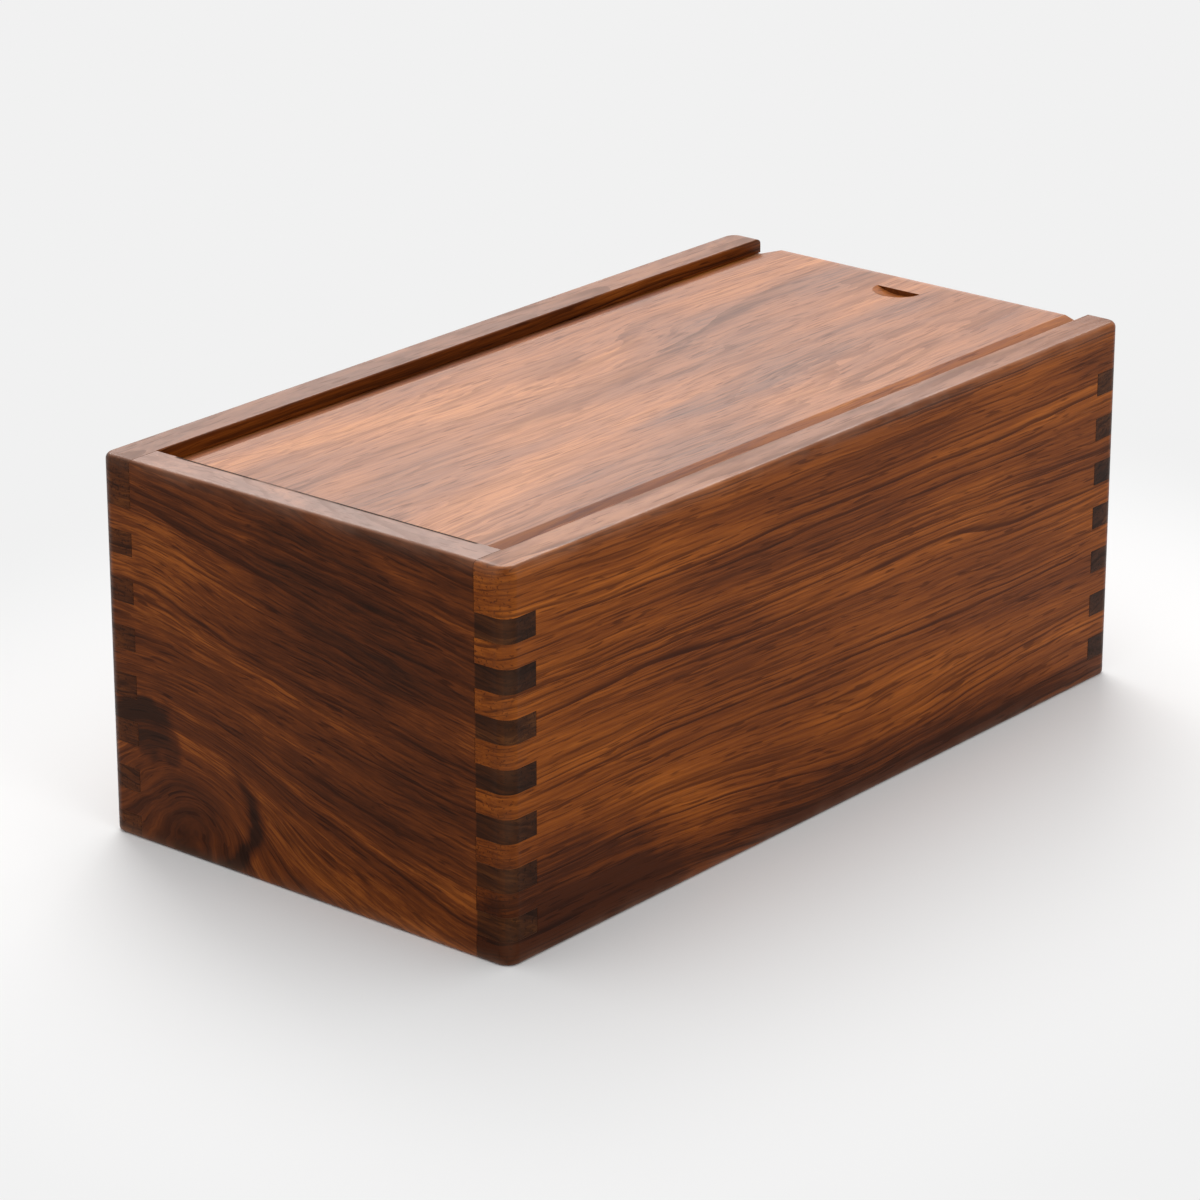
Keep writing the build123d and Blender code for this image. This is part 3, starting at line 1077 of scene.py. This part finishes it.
@dataclass
class CaseWalls:
    """The four walls, notched for each other's fingers."""

    sizes: BoxSizes
    effects: Effects
    eased: float = 0.12 * MM
    corner_steps: int = 12
    edge_steps: int = 8

    def build(self) -> dict[Wall, bpy.types.Object]:
        """Builds the walls.

        Returns:
            The finished wall objects.
        """
        tree = self._finger_tree()
        return {wall: self._wall(wall, tree) for wall in Wall}

    def dress(self, walls: dict[Wall, bpy.types.Object]) -> None:
        """Gives the walls their wood.

        Args:
            walls: The objects that build returned.
        """
        finishes = {Wall.RIGHT: RIGHT_SIDE, Wall.LEFT: LEFT_SIDE, Wall.NEAR: NEAR_END, Wall.FAR: FAR_END}
        s = self.sizes
        low = Vector((-s.half_length, -s.half_width, 0.0))
        high = Vector((s.half_length, s.half_width, s.height))
        for wall, obj in walls.items():
            finish = finishes[wall]
            finish_piece(obj, finish.material(self.effects, low, high), finish.slot, "case", wall.node)

    def _spans(self, wall: Wall) -> tuple[float, float, float]:
        """Half a wall's length, and its inner and outer face, along its own axes.

        Args:
            wall: The wall.

        Returns:
            The three sizes.
        """
        s = self.sizes
        if wall.is_side:
            return s.half_length, s.inner_half_width, s.half_width
        return s.half_width, s.inner_half_length, s.half_length

    def _outline(self, wall: Wall, z: float, inset: float, inner_inset: float) -> list[Vector]:
        """A wall's outline at one height, in its own axes, with two rounded corners.

        Args:
            wall: The wall.
            z: The height.
            inset: How far the outside is drawn in there.
            inner_inset: How far the inside is.

        Returns:
            The points.
        """
        half, inner, outer = self._spans(wall)
        radius = self.sizes.corner_radius
        points = [Vector((half - inset, inner + inner_inset, z)), Vector((inset - half, inner + inner_inset, z))]
        for side, start in ((-1, math.pi), (1, math.pi / 2)):
            for step in range(self.corner_steps + 1):
                angle = start - step * (math.pi / 2) / self.corner_steps
                reach = radius - inset
                points.append(Vector((
                    side * (half - radius) + reach * math.cos(angle), outer - radius + reach * math.sin(angle), z,
                )))
        return points

    def _blank(self, wall: Wall) -> bmesh.types.BMesh:
        """A wall before its joints are cut: the box's outside between the wall's faces.

        Args:
            wall: The wall.

        Returns:
            The closed shape.
        """
        s = self.sizes
        low_end = wall is Wall.FAR
        top = s.groove_floor if low_end else s.height
        round_top = s.arris if low_end else s.top_radius
        levels = []
        for step in range(self.edge_steps + 1):
            angle = step * (math.pi / 2) / self.edge_steps
            height = s.bottom_radius * (1 - math.cos(angle))
            levels.append(self._outline(wall, height, s.bottom_radius * (1 - math.sin(angle)), 0.0))
        for step in range(self.edge_steps + 1):
            angle = step * (math.pi / 2) / self.edge_steps
            inset = round_top * (1 - math.cos(angle))
            height = top - round_top * (1 - math.sin(angle))
            levels.append(self._outline(wall, height, inset, inset if low_end else 0.0))
        return loft(levels)

    @staticmethod
    def _finger_tree() -> bpy.types.NodeTree:
        """The tree that notches a board's two ends for the fingers of its neighbours.

        Returns:
            The tree.
        """
        nodes, given, out = new_group(
            "finger_notches", "GeometryNodeTree",
            {"Geometry": GEOMETRY, "Notches": INTEGER, "Step": FLOAT, "Lowest": FLOAT, "Reach": FLOAT,
             "Depth": FLOAT, "Notch Size": VECTOR, "Tall Notch": BOOLEAN, "Tall Height": FLOAT,
             "Tall Size": VECTOR, "Wood": MATERIAL},
            {"Geometry": GEOMETRY},
        )
        backwards = nodes.math("MULTIPLY", given["Reach"], -1.0)
        rise = nodes.add("ShaderNodeCombineXYZ", {2: given["Step"]}).outputs[0]
        ends = nodes.add("GeometryNodeJoinGeometry")
        for reach in (given["Reach"], backwards):
            foot = nodes.add("ShaderNodeCombineXYZ", {0: reach, 1: given["Depth"], 2: given["Lowest"]}).outputs[0]
            line = nodes.add("GeometryNodeMeshLine", {"Count": given["Notches"], "Start Location": foot, "Offset": rise})
            nodes.link(line.outputs[0], ends.inputs[0])
        notch = nodes.add("GeometryNodeMeshCube", {"Size": given["Notch Size"]}).outputs[0]
        comb = nodes.add("GeometryNodeInstanceOnPoints", {"Points": ends.outputs[0], "Instance": notch}).outputs[0]

        start = nodes.add("ShaderNodeCombineXYZ", {0: backwards, 1: given["Depth"], 2: given["Tall Height"]}).outputs[0]
        across = nodes.add("ShaderNodeCombineXYZ", {0: nodes.math("MULTIPLY", given["Reach"], 2.0)}).outputs[0]
        pair = nodes.add("GeometryNodeMeshLine", {"Count": 2, "Start Location": start, "Offset": across}).outputs[0]
        tall = nodes.add("GeometryNodeMeshCube", {"Size": given["Tall Size"]}).outputs[0]
        tops = nodes.add("GeometryNodeInstanceOnPoints", {"Points": pair, "Instance": tall}).outputs[0]
        chosen = nodes.add("GeometryNodeSwitch", {"Switch": given["Tall Notch"], "True": tops}, input_type="GEOMETRY")

        combs = nodes.add("GeometryNodeJoinGeometry")
        nodes.link(comb, combs.inputs[0])
        nodes.link(chosen.outputs[0], combs.inputs[0])
        cutter = nodes.add("GeometryNodeRealizeInstances", {0: combs.outputs[0]}).outputs[0]
        notched = nodes.add(
            "GeometryNodeMeshBoolean", {"Mesh 1": given["Geometry"], "Mesh 2": cutter},
            operation="DIFFERENCE", solver="EXACT",
        ).outputs[0]
        real = nodes.add("GeometryNodeRealizeInstances", {0: notched}).outputs[0]
        made = nodes.add("GeometryNodeSetMaterial", {"Geometry": real, "Material": given["Wood"]}).outputs[0]
        nodes.link(made, out.inputs["Geometry"])
        return nodes.tree

    def _wall(self, wall: Wall, tree: bpy.types.NodeTree) -> bpy.types.Object:
        """One wall, with its fingers, grooves and recesses.

        Args:
            wall: The wall.
            tree: The tree that cuts the finger notches.

        Returns:
            The wall's object.
        """
        s = self.sizes
        half, inner, outer = self._spans(wall)
        other = s.end_thickness if wall.is_side else s.side_thickness
        reach = half - other + (other + s.overrun) / 2
        width = outer - inner + 2 * s.overrun
        # The end walls' fingers start at the second pitch from the bottom, the side walls' at the first.
        lowest = s.pitch * (1.5 if wall.is_side else 0.5)
        tall = s.height - s.fingers_top + s.overrun
        obj = object_from(f"{wall.node}_board", self._blank(wall))
        run_tree(obj, tree, {
            "Notches": s.finger_count // 2, "Step": 2 * s.pitch, "Lowest": lowest, "Reach": reach,
            "Depth": (inner + outer) / 2, "Notch Size": (other + s.overrun, width, s.pitch),
            "Tall Notch": not wall.is_side, "Tall Height": s.fingers_top + tall / 2,
            "Tall Size": (other + s.overrun, width, tall),
        })
        obj.data.transform(wall.turn)
        cut(obj, self._cutters(wall))
        return shade_smooth(ease_edges(obj, self.eased))

    def _cutters(self, wall: Wall) -> list[bmesh.types.BMesh]:
        """What is cut out of a wall besides the finger notches.

        Args:
            wall: The wall.

        Returns:
            The cutting shapes.
        """
        s = self.sizes
        recess = block(
            both_ways(s.inner_half_length + s.floor_recess), both_ways(s.inner_half_width + s.floor_recess),
            (-s.overrun, s.floor_thickness),
        )
        if wall is Wall.FAR:
            return [recess]
        channel = block(
            (-s.inner_half_length - s.groove_depth, s.half_length + s.overrun),
            both_ways(s.inner_half_width + s.groove_depth),
            (s.groove_floor, s.lid_bottom + s.tongue + s.running_clearance),
        )
        cutters = [recess, channel, self._rim_flare()]
        if wall.is_side:
            low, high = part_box("divider")
            # It reaches into the floor board's recess and the lid's groove, so that no film of wood is left.
            heights = (s.floor_thickness / 2, s.lid_bottom)
            cutters.append(block((low.x, high.x), both_ways(s.inner_half_width + s.slot_depth), heights))
        return cutters

    def _rim_flare(self) -> bmesh.types.BMesh:
        """The small bevel round the inside of the rim, as a flared block that starts inside the opening.

        Returns:
            The closed shape.
        """
        s = self.sizes
        levels = []
        for rise in (-2 * s.arris, s.arris):
            widen = s.arris + rise
            x_span = (-s.inner_half_length - widen, s.half_length + s.overrun)
            y_span = both_ways(s.inner_half_width + widen)
            corners = ((0, 0), (1, 0), (1, 1), (0, 1))
            levels.append([Vector((x_span[i], y_span[j], s.height + rise)) for i, j in corners])
        return loft(levels)


# ---------------------------------------------------------------------------------------------------
# The lid


@dataclass
class SlidingLid:
    """The lid: a board with a tongue on three edges, two bevelled strips and a fingernail notch."""

    sizes: BoxSizes
    effects: Effects
    bevel_width: float = 9.0 * MM
    side_clearance: float = 0.35 * MM
    closing_clearance: float = 0.3 * MM
    tongue_lead: float = 1.5 * MM
    notch_width: float = 17.0 * MM
    notch_depth: float = 1.8 * MM
    notch_to_end: float = 12.0 * MM
    ball_segments: int = 60
    eased: float = 0.32 * MM
    notch_eased: float = 0.12 * MM

    def build(self) -> bpy.types.Object:
        """Builds the lid.

        Returns:
            The lid's object.
        """
        lid = object_from("lid_board", self._tongue())
        cut(lid, [self._field()], "UNION")
        ease_edges(lid, self.eased, segments=3)
        cut(lid, [self._notch()])
        notch = Vector((self.sizes.half_length - self.notch_to_end, 0.0, self.sizes.lid_top))
        return shade_smooth(ease_edges(lid, self.notch_eased, around=(notch, self.notch_width * 0.6)))

    def dress(self, lid: bpy.types.Object) -> None:
        """Gives the lid its wood.

        Args:
            lid: The object that build returned.
        """
        low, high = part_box("lid")
        finish_piece(lid, LID_WOOD.material(self.effects, low, high), LID_WOOD.slot, "lid", "lid")

    def _tongue(self) -> bmesh.types.BMesh:
        """The thin slab that runs in the grooves.

        Returns:
            The closed shape.
        """
        s = self.sizes
        start = -s.inner_half_length - s.groove_depth + self.closing_clearance
        half = s.inner_half_width + s.groove_depth - self.side_clearance
        lead = self.tongue_lead
        plan = [
            (s.half_length, -half), (s.half_length, half), (start + lead, half),
            (start, half - lead), (start, lead - half), (start + lead, -half),
        ]
        heights = (s.lid_bottom, s.lid_bottom + s.tongue)
        return loft([[Vector((x, y, z)) for x, y in plan] for z in heights])

    def _field(self) -> bmesh.types.BMesh:
        """The raised middle, with its two sloping strips. It reaches down into the tongue.

        Returns:
            The closed shape.
        """
        s = self.sizes
        foot = s.inner_half_width - self.side_clearance
        crest = s.inner_half_width - self.bevel_width
        middle, tongue_top = s.lid_bottom + s.tongue / 2, s.lid_bottom + s.tongue
        section = [
            (-foot, middle), (foot, middle), (foot, tongue_top),
            (crest, s.lid_top), (-crest, s.lid_top), (-foot, tongue_top),
        ]
        ends = (-s.inner_half_length + self.closing_clearance, s.half_length)
        return loft([[Vector((x, y, z)) for y, z in section] for x in ends])

    def _notch(self) -> bmesh.types.BMesh:
        """The fingernail notch: a ball, cut off by an upright wall.

        Returns:
            The closed shape.
        """
        s = self.sizes
        radius = ((self.notch_width / 2) ** 2 + self.notch_depth**2) / (2 * self.notch_depth)
        wall_x = s.half_length - self.notch_to_end
        centre = Vector((wall_x, 0.0, s.lid_top - self.notch_depth + radius))
        bm = bmesh.new()
        bmesh.ops.create_uvsphere(
            bm, u_segments=self.ball_segments, v_segments=self.ball_segments, radius=radius,
            matrix=Matrix.Translation(centre),
        )
        whole = bm.verts[:] + bm.edges[:] + bm.faces[:]
        sliced = bmesh.ops.bisect_plane(bm, geom=whole, plane_co=centre, plane_no=(1, 0, 0), clear_outer=True)
        edges = [part for part in sliced["geom_cut"] if isinstance(part, bmesh.types.BMEdge)]
        bmesh.ops.contextual_create(bm, geom=edges)
        return bm


# ---------------------------------------------------------------------------------------------------
# The inside


@dataclass
class Interior:
    """The floor board, the divider and the two cloths."""

    sizes: BoxSizes
    effects: Effects
    board_eased: float = 0.3 * MM
    divider_eased: float = 1.0 * MM
    divider_ends_eased: float = 0.15 * MM
    cloth_cells: int = 48
    cloth_wave: float = 0.16 * MM
    cloth_edge: float = 0.3 * MM
    hairs_per_m2: float = 900000.0
    hair_length: float = 0.75 * MM
    hair_radius: float = 0.05 * MM
    hair_lean: float = 1.05

    def build(self) -> None:
        """Builds and dresses the inside."""
        self._floor_board()
        self._divider()
        green = BaizeFinish()
        cloth = green.material()
        tree = self._nap_tree()
        for seed, node in enumerate(("near_floor_baize", "far_floor_baize"), start=1):
            self._baize(node, seed, green, cloth, tree)

    def _floor_board(self) -> None:
        """The board that closes the case below."""
        low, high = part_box("bottom_panel")
        board = object_from("bottom_panel_board", block((low.x, high.x), (low.y, high.y), (low.z, high.z)))
        shade_smooth(ease_edges(board, self.board_eased))
        finish_piece(board, FLOOR_WOOD.material(self.effects, low, high), FLOOR_WOOD.slot, "case", "bottom_panel")

    def _divider(self) -> None:
        """The cross board, with a rounded top."""
        low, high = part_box("divider")
        radius, steps = self.divider_eased, 8
        section = [(low.x, low.z), (high.x, low.z)]
        for side, start in ((1, 0.0), (-1, math.pi / 2)):
            for step in range(steps + 1):
                angle = start + step * (math.pi / 2) / steps
                centre_x = side * (high.x - radius)
                section.append((centre_x + radius * math.cos(angle), high.z - radius + radius * math.sin(angle)))
        board = object_from("divider_board", loft([[Vector((x, y, z)) for x, z in section] for y in (low.y, high.y)]))
        shade_smooth(ease_edges(board, self.divider_ends_eased))
        finish_piece(board, DIVIDER_WOOD.material(self.effects, low, high), DIVIDER_WOOD.slot, "case", "divider")

    def _baize(self, node: str, seed: int, green: BaizeFinish, cloth: bpy.types.Material, tree: bpy.types.NodeTree) -> None:
        """One compartment's cloth and its nap.

        Args:
            node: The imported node.
            seed: What makes this cloth differ from the other.
            green: The finish.
            cloth: Its material.
            tree: The tree that grows the nap.
        """
        low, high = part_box(node)
        sheet = shade_smooth(object_from(f"{node}_cloth", self._cloth(low, high, seed)))
        nap = object_from(f"{node}_nap", self._cloth(low, high, seed))
        run_tree(nap, tree, {
            "Hairs": self.hairs_per_m2, "Length": self.hair_length, "Radius": self.hair_radius,
            "Lean": self.hair_lean, "Seed": seed, "Cloth": cloth,
        })
        finish_piece(sheet, cloth, green.slot, "case", node)
        finish_piece(nap, cloth, green.slot, "case")

    def _cloth(self, low: Vector, high: Vector, seed: int) -> bmesh.types.BMesh:
        """A thin cloth with a gently uneven top.

        Args:
            low: The lowest corner of its space.
            high: The highest corner.
            seed: What makes its unevenness its own.

        Returns:
            The closed shape.
        """
        bm = bmesh.new()
        cells = self.cloth_cells
        bmesh.ops.create_grid(bm, x_segments=cells, y_segments=cells, size=0.5)
        size, centre = high - low, (low + high) / 2
        for vert in bm.verts:
            edge = max(abs(vert.co.x), abs(vert.co.y)) > 0.5 - 0.5 / cells
            place = Vector((vert.co.x * size.x + centre.x, vert.co.y * size.y + centre.y, 0.0))
            wave = noise.noise(place * 60.0 + Vector((0.0, 0.0, seed * 7.3)))
            drop = self.cloth_edge if edge else self.cloth_wave * (0.5 + 0.5 * wave)
            vert.co = Vector((place.x, place.y, high.z - drop))
        edges = [edge for edge in bm.edges if edge.is_boundary]
        skirt = bmesh.ops.extrude_edge_only(bm, edges=edges)["geom"]
        for part in skirt:
            if isinstance(part, bmesh.types.BMVert):
                part.co.z = low.z
        rim = [part for part in skirt if isinstance(part, bmesh.types.BMEdge)]
        bmesh.ops.contextual_create(bm, geom=rim)
        return bm

    @staticmethod
    def _nap_tree() -> bpy.types.NodeTree:
        """The tree that grows short leaning hairs on a cloth's top.

        Returns:
            The tree.
        """
        nodes, given, out = new_group(
            "baize_nap", "GeometryNodeTree",
            {"Geometry": GEOMETRY, "Hairs": FLOAT, "Length": FLOAT, "Radius": FLOAT, "Lean": FLOAT,
             "Seed": INTEGER, "Cloth": MATERIAL},
            {"Geometry": GEOMETRY},
        )
        upward = nodes.add("ShaderNodeSeparateXYZ", {0: nodes.add("GeometryNodeInputNormal").outputs[0]}).outputs[2]
        on_top = nodes.add("FunctionNodeCompare", {0: upward, 1: 0.8}, operation="GREATER_THAN").outputs[0]
        roots = nodes.add("GeometryNodeDistributePointsOnFaces", {
            "Mesh": given["Geometry"], "Selection": on_top, "Density": given["Hairs"], "Seed": given["Seed"],
        }).outputs["Points"]
        hair = nodes.add("GeometryNodeMeshCone", {
            "Vertices": 3, "Radius Bottom": given["Radius"], "Radius Top": 0.0, "Depth": given["Length"],
        }).outputs[0]
        back = nodes.math("MULTIPLY", given["Lean"], -1.0)
        least = nodes.add("ShaderNodeCombineXYZ", {0: back, 1: back, 2: 0.0}).outputs[0]
        most = nodes.add("ShaderNodeCombineXYZ", {0: given["Lean"], 1: given["Lean"], 2: math.tau}).outputs[0]
        leaning = nodes.add(
            "FunctionNodeRandomValue", {0: least, 1: most, "Seed": given["Seed"]}, data_type="FLOAT_VECTOR"
        ).outputs[0]
        turned = nodes.add("FunctionNodeEulerToRotation", {0: leaning}).outputs[0]
        long = nodes.add("FunctionNodeRandomValue", {2: 0.5, 3: 1.0, "Seed": given["Seed"]}, data_type="FLOAT")
        hairs = nodes.add("GeometryNodeInstanceOnPoints", {
            "Points": roots, "Instance": hair, "Rotation": turned, "Scale": long.outputs[1],
        }).outputs[0]
        real = nodes.add("GeometryNodeRealizeInstances", {0: hairs}).outputs[0]
        made = nodes.add("GeometryNodeSetMaterial", {"Geometry": real, "Material": given["Cloth"]}).outputs[0]
        nodes.link(made, out.inputs["Geometry"])
        return nodes.tree


# ---------------------------------------------------------------------------------------------------
# The studio


@dataclass(frozen=True)
class SoftBox:
    """A rectangular lamp that points at the box."""

    name: str
    place: tuple[float, float, float]
    size: tuple[float, float]
    watts: float
    tint: Colour = (1.0, 1.0, 1.0)


@dataclass
class Studio:
    """The floor, the light and the camera."""

    sizes: BoxSizes
    floor_radius: float = 14.0
    floor_tone: Colour = (0.88, 0.88, 0.88)
    backdrop_tone: Colour = (0.88, 0.88, 0.88)
    fade: Span = (0.0, 0.21)
    ambient: float = 0.80
    photo_focal_px: float = 2243.0
    view_px: float = 560.0
    sensor_mm: float = 36.0
    camera_place: tuple[float, float, float] = (-1.065, -0.871, 0.564)
    azimuth: float = -50.33
    elevation: float = 20.54
    lamps: tuple[SoftBox, ...] = (
        SoftBox("overhead", (0.25, 0.45, 1.7), (1.6, 1.6), 6.0),
        SoftBox("behind", (1.25, 1.45, 1.27), (1.6, 1.0), 25.0, (1.0, 0.98, 0.96)),
        SoftBox("right_fill", (-0.3, -2.0, 0.9), (1.2, 0.9), 7.0),
    )

    def build(self) -> None:
        """Builds the floor, the world, the lamps and the camera."""
        self._floor()
        self._world()
        for lamp in self.lamps:
            self._lamp(lamp)
        self._camera()
        bpy.context.scene.view_settings.view_transform = "Standard"
        log.info("studio: %d lamps", len(self.lamps))

    def _floor(self) -> None:
        """A wide pale disc under the box, which fades into the backdrop away from it."""
        bm = bmesh.new()
        bmesh.ops.create_circle(bm, cap_ends=True, segments=96, radius=self.floor_radius)
        floor = object_from("floor", bm)
        made = bpy.data.materials.new("pale_floor")
        made.use_nodes = True
        nodes = Nodes(made.node_tree)
        shader = made.node_tree.nodes["Principled BSDF"]
        shader.inputs["Base Color"].default_value = (*self.floor_tone, 1.0)
        shader.inputs["Roughness"].default_value = 0.7
        shader.inputs["Specular IOR Level"].default_value = 0.1
        place = nodes.vector("ABSOLUTE", nodes.add("ShaderNodeTexCoord").outputs["Object"])
        outside = nodes.vector("SUBTRACT", place, (self.sizes.half_length, self.sizes.half_width, 0.0))
        outside = nodes.vector("MAXIMUM", outside, (0.0, 0.0, 0.0))
        away = nodes.add("ShaderNodeVectorMath", {0: outside}, operation="LENGTH").outputs["Value"]
        faded = nodes.math("MULTIPLY", nodes.ease(away, *self.fade), self._seen(nodes))
        pale = nodes.add("ShaderNodeEmission", {"Color": (*self.backdrop_tone, 1.0), "Strength": 1.0}).outputs[0]
        mixed = nodes.add("ShaderNodeMixShader", {0: faded, 1: shader.outputs[0], 2: pale}).outputs[0]
        nodes.link(mixed, made.node_tree.nodes["Material Output"].inputs["Surface"])
        floor.data.materials.append(made)

    @staticmethod
    def _seen(nodes: Nodes) -> Socket:
        """Whether a ray comes from the camera, or by way of a glossy or a clear surface.

        Args:
            nodes: The material's or the world's nodes.

        Returns:
            The output socket.
        """
        rays = nodes.add("ShaderNodeLightPath").outputs
        mirrored = nodes.math("MAXIMUM", rays["Is Glossy Ray"], rays["Is Transmission Ray"])
        return nodes.math("MAXIMUM", rays["Is Camera Ray"], mirrored)

    def _world(self) -> None:
        """A pale backdrop for the camera and reflections, over a weaker ambient light."""
        world = bpy.data.worlds.new("studio")
        bpy.context.scene.world = world
        world.use_nodes = True
        nodes = Nodes(world.node_tree)
        world.node_tree.nodes.clear()
        ambient = nodes.add("ShaderNodeBackground", {"Color": (1.0, 1.0, 1.0, 1.0), "Strength": self.ambient}).outputs[0]
        pale = nodes.add("ShaderNodeBackground", {"Color": (*self.backdrop_tone, 1.0), "Strength": 1.0}).outputs[0]
        mixed = nodes.add("ShaderNodeMixShader", {0: self._seen(nodes), 1: ambient, 2: pale}).outputs[0]
        nodes.add("ShaderNodeOutputWorld", {"Surface": mixed})

    def _lamp(self, lamp: SoftBox) -> None:
        """One soft box, turned to the middle of the box.

        Args:
            lamp: Its place, size and power.
        """
        light = bpy.data.lights.new(lamp.name, "AREA")
        light.shape = "RECTANGLE"
        light.size, light.size_y = lamp.size
        light.energy = lamp.watts
        light.color = lamp.tint
        obj = bpy.data.objects.new(lamp.name, light)
        bpy.context.scene.collection.objects.link(obj)
        obj.location = lamp.place
        aim = Vector((0.0, 0.0, self.sizes.height / 2)) - Vector(lamp.place)
        obj.rotation_euler = aim.to_track_quat("-Z", "Y").to_euler()
        obj.visible_camera = False

    def _camera(self) -> None:
        """The camera, at the photograph's place and angle."""
        data = bpy.data.cameras.new("camera")
        data.sensor_width = self.sensor_mm
        data.lens = self.photo_focal_px / self.view_px * self.sensor_mm
        camera = bpy.data.objects.new("camera", data)
        bpy.context.scene.collection.objects.link(camera)
        a, e = math.radians(self.azimuth), math.radians(self.elevation)
        back = Vector((math.sin(a) * math.cos(e), -math.cos(a) * math.cos(e), math.sin(e)))
        camera.location = self.camera_place
        camera.rotation_euler = (-back).to_track_quat("-Z", "Y").to_euler()
        bpy.context.scene.camera = camera


def main() -> None:
    """Builds every piece in order."""
    logging.basicConfig(level=logging.INFO, format="%(name)s: %(message)s")
    sizes = BoxSizes.from_frame()
    Studio(sizes).build()
    effects = Effects()
    walls = CaseWalls(sizes, effects)
    walls.dress(walls.build())
    lid = SlidingLid(sizes, effects)
    lid.dress(lid.build())
    Interior(sizes, effects).build()


if __name__ == "__main__":
    main()
